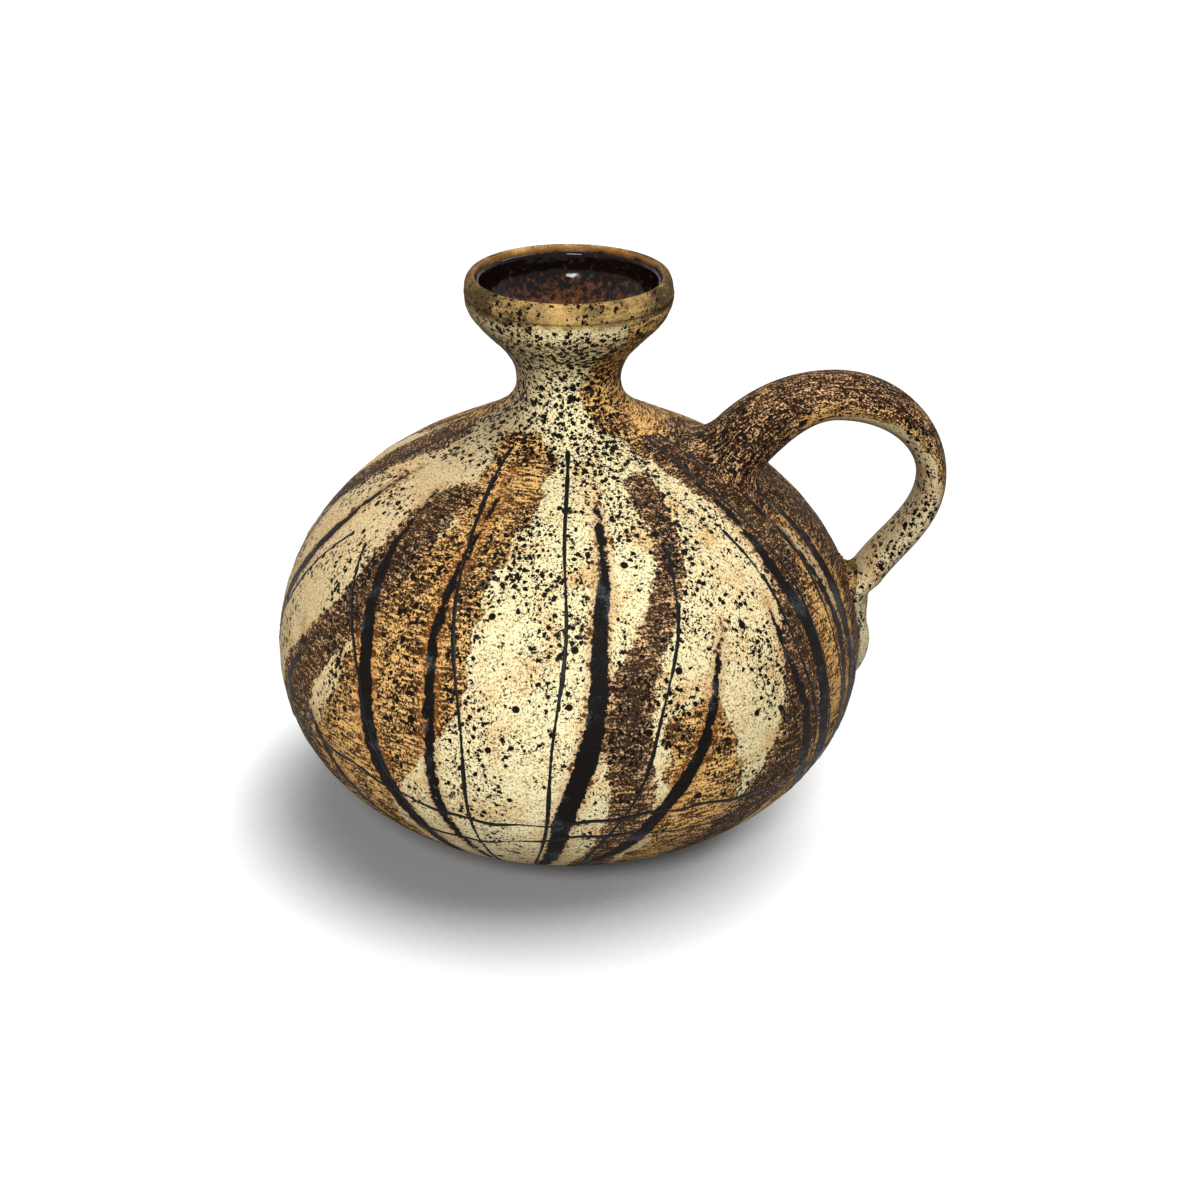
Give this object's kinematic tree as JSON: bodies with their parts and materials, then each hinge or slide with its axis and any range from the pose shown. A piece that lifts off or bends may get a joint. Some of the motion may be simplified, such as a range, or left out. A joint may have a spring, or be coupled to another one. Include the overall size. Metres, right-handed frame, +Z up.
{
  "type": "bottle vase",
  "caption": "Round-bodied stoneware bottle vase with a narrow waisted neck, a flared cup mouth and one pulled loop handle from shoulder to belly, glazed dark inside.",
  "frame": {"origin": "centre of the flat base, on the vase's axis", "axes": "+Z up along the axis of the thrown body and neck, +X from the axis towards the handle, +Y away from the picture's viewer"},
  "size_m": [0.1811, 0.16, 0.1544],
  "materials": {
    "stoneware_body": "matte speckled cream slip with brown washes",
    "stoneware_neck": "matte brown wash over cream slip",
    "stoneware_coils": "matte brown wash, wiped by hand",
    "stoneware_handle": "matte brown wash with pulling streaks",
    "liner_glaze": "glossy iron brown-black glaze"
  },
  "bodies": {
    "root": {"body": "stoneware_body", "neck": "stoneware_neck", "neck_luting_coil": "stoneware_coils", "handle": "stoneware_handle", "handle_root_coil": "stoneware_coils", "handle_crook_wad": "stoneware_coils", "liner_glaze": "liner_glaze"}
  },
  "joints": []
}
